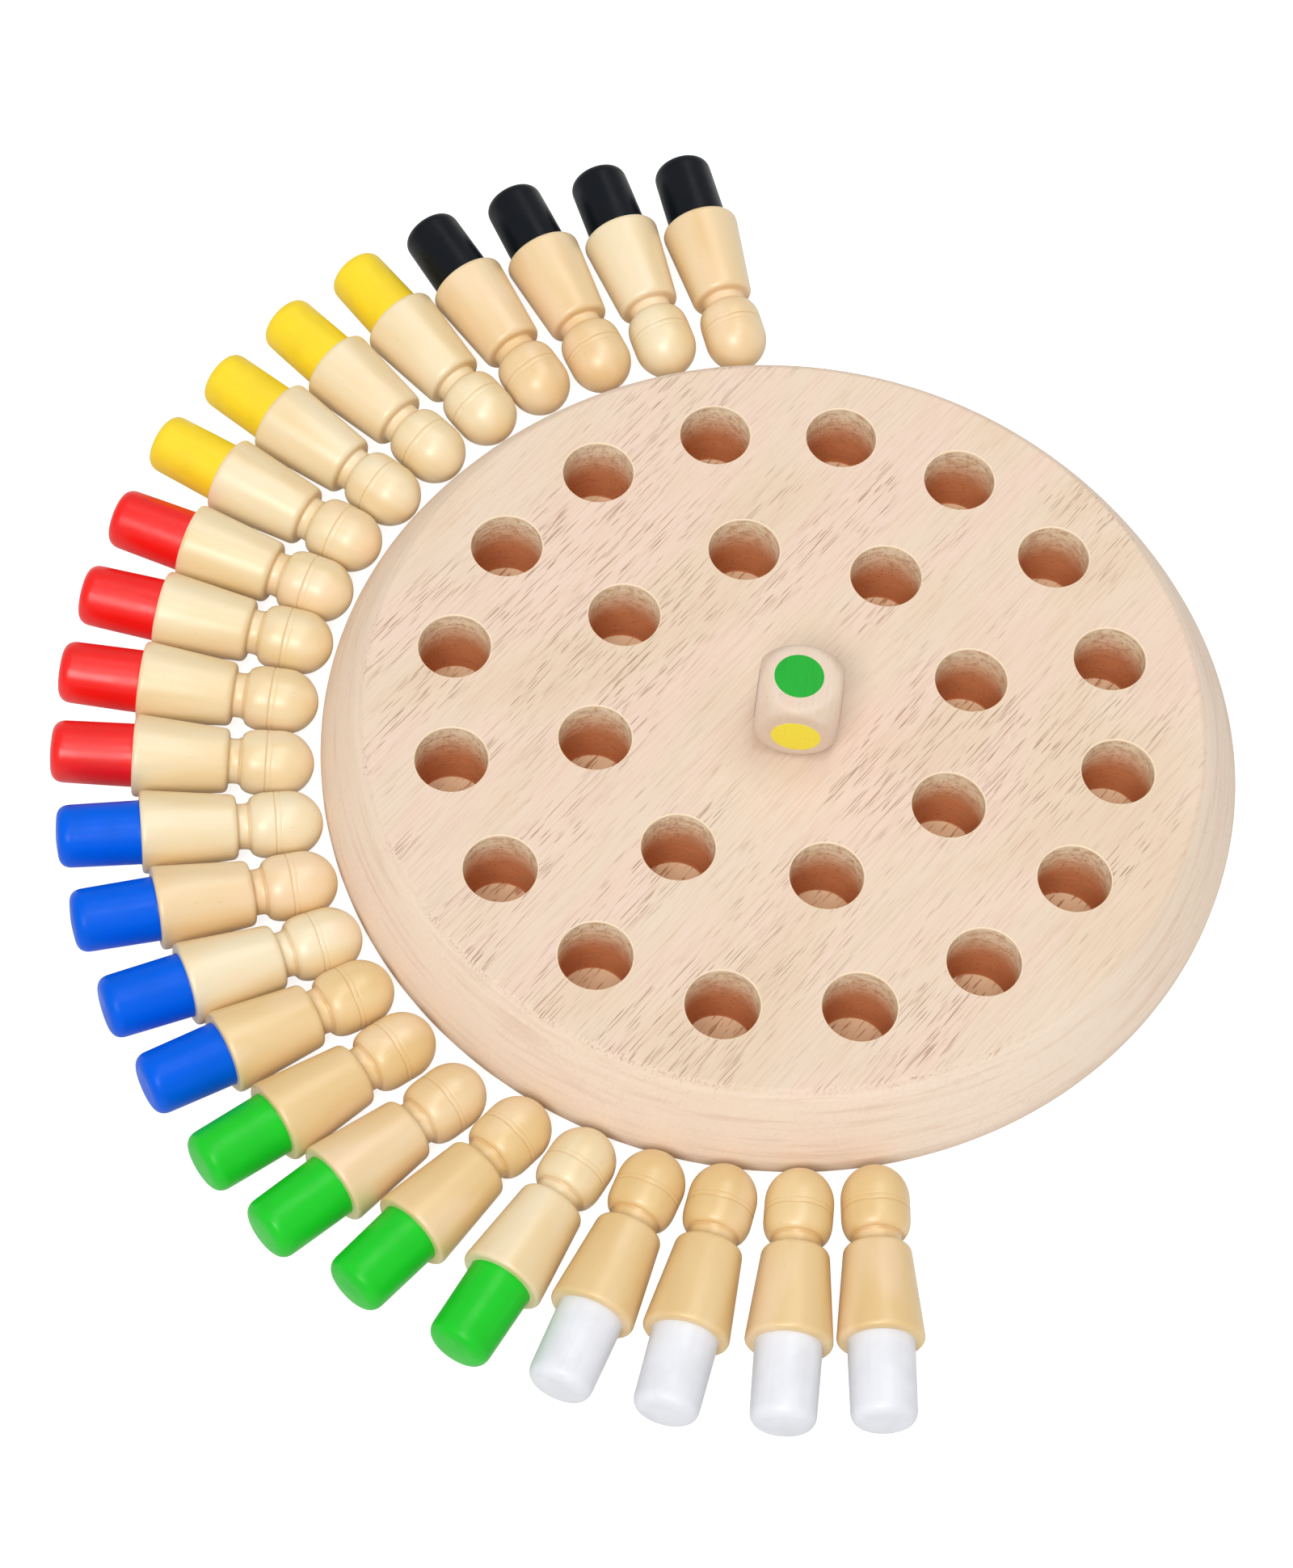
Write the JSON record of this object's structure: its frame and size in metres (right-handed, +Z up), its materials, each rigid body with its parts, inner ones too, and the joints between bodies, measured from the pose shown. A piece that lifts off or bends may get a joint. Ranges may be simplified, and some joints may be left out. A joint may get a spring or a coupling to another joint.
{
  "type": "colour memory peg game",
  "caption": "Round wooden board with two rings of blind holes, turned pegs with colour-dipped ends laid in a fan beside it, and a wooden die with a coloured spot on each face.",
  "frame": {"origin": "centre of the board's underside, on the table that the pegs lie on", "axes": "+Z up out of the board's play face, +Y away from the front, +X to the right; the pegs lie in a fan round the -X side"},
  "size_m": [0.2643, 0.3225, 0.0418],
  "materials": {
    "board_beech": "bare sanded beech, pale and slightly pink, with fine dark pore dashes",
    "peg_beech": "clear-lacquered turned hardwood, honey coloured, satin gloss",
    "die_beech": "smooth pale wood, thin clear coat",
    "paint_black": "satin black dip paint on a peg's end and the die's black spot",
    "paint_yellow": "gloss yellow dip paint on a peg's end and the die's yellow spot",
    "paint_red": "gloss red dip paint on a peg's end and the die's red spot",
    "paint_blue": "gloss blue dip paint on a peg's end and the die's blue spot",
    "paint_green": "gloss green dip paint on a peg's end and the die's green spot",
    "paint_white": "satin white dip paint on a peg's end and the die's white spot"
  },
  "bodies": {
    "board": {"board": "board_beech"},
    "peg_black_1": {"peg_black_1": "peg_beech"},
    "peg_black_2": {"peg_black_2": "peg_beech"},
    "peg_black_3": {"peg_black_3": "peg_beech"},
    "peg_black_4": {"peg_black_4": "peg_beech"},
    "peg_yellow_1": {"peg_yellow_1": "peg_beech"},
    "peg_yellow_2": {"peg_yellow_2": "peg_beech"},
    "peg_yellow_3": {"peg_yellow_3": "peg_beech"},
    "peg_yellow_4": {"peg_yellow_4": "peg_beech"},
    "peg_red_1": {"peg_red_1": "peg_beech"},
    "peg_red_2": {"peg_red_2": "peg_beech"},
    "peg_red_3": {"peg_red_3": "peg_beech"},
    "peg_red_4": {"peg_red_4": "peg_beech"},
    "peg_blue_1": {"peg_blue_1": "peg_beech"},
    "peg_blue_2": {"peg_blue_2": "peg_beech"},
    "peg_blue_3": {"peg_blue_3": "peg_beech"},
    "peg_blue_4": {"peg_blue_4": "peg_beech"},
    "peg_green_1": {"peg_green_1": "peg_beech"},
    "peg_green_2": {"peg_green_2": "peg_beech"},
    "peg_green_3": {"peg_green_3": "peg_beech"},
    "peg_green_4": {"peg_green_4": "peg_beech"},
    "peg_white_1": {"peg_white_1": "peg_beech"},
    "peg_white_2": {"peg_white_2": "peg_beech"},
    "peg_white_3": {"peg_white_3": "peg_beech"},
    "peg_white_4": {"peg_white_4": "peg_beech"},
    "die": {"die": "die_beech"}
  },
  "joints": [
    {"name": "peg_black_1_lift", "type": "slide", "parent": "board", "child": "peg_black_1", "axis": [0, 0, 1], "range_m": [0, 0.06]},
    {"name": "peg_black_2_lift", "type": "slide", "parent": "board", "child": "peg_black_2", "axis": [0, 0, 1], "range_m": [0, 0.06]},
    {"name": "peg_black_3_lift", "type": "slide", "parent": "board", "child": "peg_black_3", "axis": [0, 0, 1], "range_m": [0, 0.06]},
    {"name": "peg_black_4_lift", "type": "slide", "parent": "board", "child": "peg_black_4", "axis": [0, 0, 1], "range_m": [0, 0.06]},
    {"name": "peg_yellow_1_lift", "type": "slide", "parent": "board", "child": "peg_yellow_1", "axis": [0, 0, 1], "range_m": [0, 0.06]},
    {"name": "peg_yellow_2_lift", "type": "slide", "parent": "board", "child": "peg_yellow_2", "axis": [0, 0, 1], "range_m": [0, 0.06]},
    {"name": "peg_yellow_3_lift", "type": "slide", "parent": "board", "child": "peg_yellow_3", "axis": [0, 0, 1], "range_m": [0, 0.06]},
    {"name": "peg_yellow_4_lift", "type": "slide", "parent": "board", "child": "peg_yellow_4", "axis": [0, 0, 1], "range_m": [0, 0.06]},
    {"name": "peg_red_1_lift", "type": "slide", "parent": "board", "child": "peg_red_1", "axis": [0, 0, 1], "range_m": [0, 0.06]},
    {"name": "peg_red_2_lift", "type": "slide", "parent": "board", "child": "peg_red_2", "axis": [0, 0, 1], "range_m": [0, 0.06]},
    {"name": "peg_red_3_lift", "type": "slide", "parent": "board", "child": "peg_red_3", "axis": [0, 0, 1], "range_m": [0, 0.06]},
    {"name": "peg_red_4_lift", "type": "slide", "parent": "board", "child": "peg_red_4", "axis": [0, 0, 1], "range_m": [0, 0.06]},
    {"name": "peg_blue_1_lift", "type": "slide", "parent": "board", "child": "peg_blue_1", "axis": [0, 0, 1], "range_m": [0, 0.06]},
    {"name": "peg_blue_2_lift", "type": "slide", "parent": "board", "child": "peg_blue_2", "axis": [0, 0, 1], "range_m": [0, 0.06]},
    {"name": "peg_blue_3_lift", "type": "slide", "parent": "board", "child": "peg_blue_3", "axis": [0, 0, 1], "range_m": [0, 0.06]},
    {"name": "peg_blue_4_lift", "type": "slide", "parent": "board", "child": "peg_blue_4", "axis": [0, 0, 1], "range_m": [0, 0.06]},
    {"name": "peg_green_1_lift", "type": "slide", "parent": "board", "child": "peg_green_1", "axis": [0, 0, 1], "range_m": [0, 0.06]},
    {"name": "peg_green_2_lift", "type": "slide", "parent": "board", "child": "peg_green_2", "axis": [0, 0, 1], "range_m": [0, 0.06]},
    {"name": "peg_green_3_lift", "type": "slide", "parent": "board", "child": "peg_green_3", "axis": [0, 0, 1], "range_m": [0, 0.06]},
    {"name": "peg_green_4_lift", "type": "slide", "parent": "board", "child": "peg_green_4", "axis": [0, 0, 1], "range_m": [0, 0.06]},
    {"name": "peg_white_1_lift", "type": "slide", "parent": "board", "child": "peg_white_1", "axis": [0, 0, 1], "range_m": [0, 0.06]},
    {"name": "peg_white_2_lift", "type": "slide", "parent": "board", "child": "peg_white_2", "axis": [0, 0, 1], "range_m": [0, 0.06]},
    {"name": "peg_white_3_lift", "type": "slide", "parent": "board", "child": "peg_white_3", "axis": [0, 0, 1], "range_m": [0, 0.06]},
    {"name": "peg_white_4_lift", "type": "slide", "parent": "board", "child": "peg_white_4", "axis": [0, 0, 1], "range_m": [0, 0.06]},
    {"name": "die_lift", "type": "slide", "parent": "board", "child": "die", "axis": [0, 0, 1], "range_m": [0, 0.06]}
  ]
}
